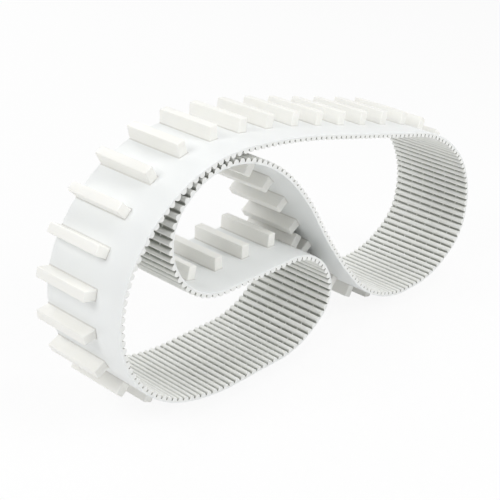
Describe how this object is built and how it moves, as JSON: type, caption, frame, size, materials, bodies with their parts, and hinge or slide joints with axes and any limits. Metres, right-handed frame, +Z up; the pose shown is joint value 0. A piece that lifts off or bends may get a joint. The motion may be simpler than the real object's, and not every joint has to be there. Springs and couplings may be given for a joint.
{
  "type": "cleated timing belt",
  "caption": "Endless white urethane timing belt with round teeth inside and welded block cleats across its back, lying free and curled into itself.",
  "frame": {"origin": "on the floor, under the middle of the curled loop's bounding box", "axes": "+X along the loop's length to the right lobe, +Y across the belt's width to the edge that the cleats reach, +Z up"},
  "size_m": [0.57, 0.1, 0.2767],
  "materials": {
    "belt_urethane": "cool white, satin, slightly translucent urethane",
    "tooth_urethane": "white urethane, satin, moulded round teeth",
    "cord_ply": "steel cords bedded in urethane, not seen",
    "cleat_urethane": "warm white, satin, slightly translucent urethane"
  },
  "bodies": {
    "root": {"back_layer": "belt_urethane", "cord_ply": "cord_ply", "tooth_layer": "tooth_urethane", "cleat_01": "cleat_urethane", "cleat_02": "cleat_urethane", "cleat_03": "cleat_urethane", "cleat_04": "cleat_urethane", "cleat_05": "cleat_urethane", "cleat_06": "cleat_urethane", "cleat_07": "cleat_urethane", "cleat_08": "cleat_urethane", "cleat_09": "cleat_urethane", "cleat_10": "cleat_urethane", "cleat_11": "cleat_urethane", "cleat_12": "cleat_urethane", "cleat_13": "cleat_urethane", "cleat_14": "cleat_urethane", "cleat_15": "cleat_urethane", "cleat_16": "cleat_urethane", "cleat_17": "cleat_urethane", "cleat_18": "cleat_urethane", "cleat_19": "cleat_urethane", "cleat_20": "cleat_urethane", "cleat_21": "cleat_urethane", "cleat_22": "cleat_urethane", "cleat_23": "cleat_urethane", "cleat_24": "cleat_urethane", "cleat_25": "cleat_urethane", "cleat_26": "cleat_urethane", "cleat_27": "cleat_urethane", "cleat_28": "cleat_urethane", "cleat_29": "cleat_urethane", "cleat_30": "cleat_urethane", "cleat_31": "cleat_urethane", "cleat_32": "cleat_urethane", "cleat_33": "cleat_urethane", "cleat_34": "cleat_urethane", "cleat_35": "cleat_urethane", "cleat_36": "cleat_urethane", "cleat_37": "cleat_urethane", "cleat_38": "cleat_urethane", "cleat_39": "cleat_urethane", "cleat_40": "cleat_urethane", "cleat_41": "cleat_urethane", "cleat_42": "cleat_urethane", "cleat_43": "cleat_urethane", "cleat_44": "cleat_urethane", "cleat_45": "cleat_urethane", "cleat_46": "cleat_urethane", "cleat_47": "cleat_urethane", "cleat_48": "cleat_urethane", "cleat_49": "cleat_urethane", "cleat_50": "cleat_urethane", "cleat_51": "cleat_urethane", "cleat_52": "cleat_urethane", "cleat_53": "cleat_urethane"}
  },
  "joints": []
}
